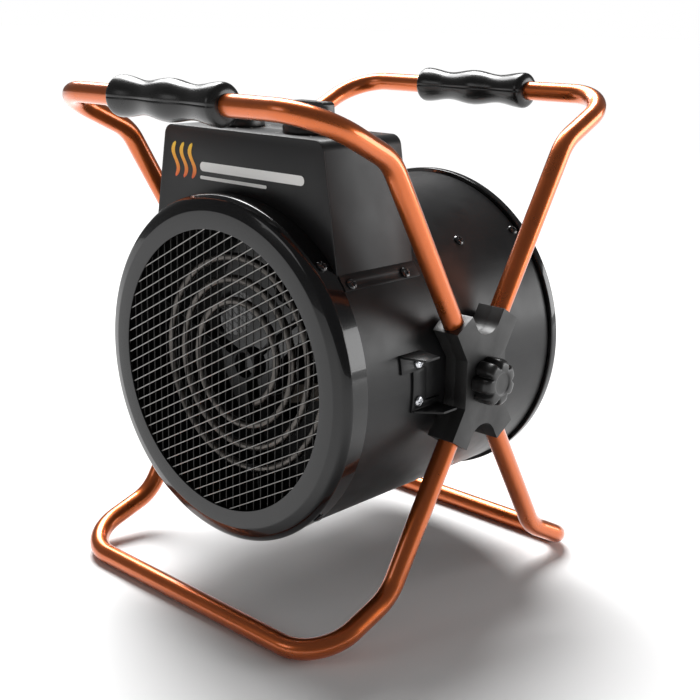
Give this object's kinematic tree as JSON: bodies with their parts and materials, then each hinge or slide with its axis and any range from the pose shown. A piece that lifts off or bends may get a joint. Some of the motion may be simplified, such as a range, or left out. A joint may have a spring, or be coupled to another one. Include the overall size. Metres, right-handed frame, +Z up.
{
  "type": "ceramic space heater",
  "caption": "Portable electric fan heater: a horizontal drum with a front guard and a top control box, tilting between hubs on a bent tube stand with carrying grips.",
  "frame": {"origin": "on the floor under the middle of the drum", "axes": "+X to the right seen from the front, -Y the way the warm air leaves, +Z up"},
  "size_m": [0.3434, 0.3824, 0.4087],
  "materials": {
    "frame_paint": "metallic copper-orange gloss enamel",
    "grip_plastic": "glossy black",
    "hub_plastic": "matte black, fine texture",
    "knob_plastic": "satin black",
    "shell_paint": "satin black powder coat",
    "gloss_paint": "gloss black enamel",
    "box_paint": "satin black powder coat",
    "bracket_paint": "satin black",
    "guard_wire": "bright plated wire",
    "element_steel": "oxidised steel sheath",
    "liner_steel": "aluminised sheet",
    "inner_steel": "plain steel",
    "ceramic": "unglazed",
    "mica": "insulating board",
    "fan_alloy": "pressed sheet",
    "motor_paint": "black",
    "switch_plastic": "moulded",
    "black_screw": "gloss black",
    "zinc_screw": "bright zinc"
  },
  "bodies": {
    "stand": {"front_handle_tube": "frame_paint", "rear_handle_tube": "frame_paint", "front_leg_tube": "frame_paint", "rear_leg_tube": "frame_paint", "front_grip_upper": "grip_plastic", "front_grip_lower": "grip_plastic", "rear_grip_upper": "grip_plastic", "rear_grip_lower": "grip_plastic", "grip_screws": "zinc_screw", "hub_outer_left": "hub_plastic", "hub_outer_right": "hub_plastic", "hub_inner_left": "hub_plastic", "hub_inner_right": "hub_plastic", "hub_screws_left": "zinc_screw", "hub_screws_right": "zinc_screw"},
    "drum": {"drum_shell": "shell_paint", "front_bezel": "gloss_paint", "front_collar": "gloss_paint", "collar_screws": "black_screw", "rear_ring": "gloss_paint", "rear_ring_screws": "black_screw", "motor_mount_screws": "black_screw", "control_box_screws": "black_screw", "inner_liner": "liner_steel", "front_guard": "guard_wire", "rear_guard": "guard_wire", "heating_element": "element_steel", "element_carrier": "liner_steel", "element_clamp": "black_screw", "terminal_strip": "mica", "ceramic_bushes": "ceramic", "motor": "motor_paint", "motor_mount": "inner_steel", "control_box": "box_paint", "control_box_front": "box_paint", "thermostat": "switch_plastic", "mode_switch": "switch_plastic", "terminal_block": "switch_plastic", "thermal_cutout": "ceramic", "cord_gland": "hub_plastic", "pivot_washer_left": "knob_plastic", "pivot_washer_right": "knob_plastic", "pivot_stud_left": "zinc_screw", "pivot_stud_right": "zinc_screw", "tilt_stop_left": "bracket_paint", "tilt_stop_right": "bracket_paint", "tilt_stop_screws_left": "zinc_screw", "tilt_stop_screws_right": "zinc_screw"},
    "fan_rotor": {"fan": "fan_alloy", "motor_shaft": "inner_steel"},
    "thermostat_dial": {"thermostat_knob": "knob_plastic", "thermostat_spindle": "inner_steel"},
    "mode_dial": {"mode_knob": "knob_plastic", "mode_spindle": "inner_steel"},
    "clamp_right": {"star_knob_right": "hub_plastic"},
    "clamp_left": {"star_knob_left": "hub_plastic"}
  },
  "joints": [
    {"name": "drum_tilt", "type": "hinge", "parent": "stand", "child": "drum", "pos_m": [0, 0, 0.1866], "axis": [-1, 0, 0], "range_deg": [-10, 20]},
    {"name": "fan_spin", "type": "hinge", "parent": "drum", "child": "fan_rotor", "pos_m": [0, 0, 0.1866], "axis": [0, 1, 0], "continuous": true},
    {"name": "thermostat_turn", "type": "hinge", "parent": "drum", "child": "thermostat_dial", "pos_m": [-0.04, -0.077, 0.3686], "axis": [0, 0, -1], "range_deg": [0, 270]},
    {"name": "mode_turn", "type": "hinge", "parent": "drum", "child": "mode_dial", "pos_m": [0.04, -0.077, 0.3686], "axis": [0, 0, -1], "range_deg": [0, 135]},
    {"name": "clamp_turn_right", "type": "hinge", "parent": "drum", "child": "clamp_right", "pos_m": [0.1637, 0, 0.1866], "axis": [1, 0, 0], "range_deg": [0, 360]},
    {"name": "clamp_turn_left", "type": "hinge", "parent": "drum", "child": "clamp_left", "pos_m": [-0.1637, 0, 0.1866], "axis": [-1, 0, 0], "range_deg": [0, 360]}
  ]
}
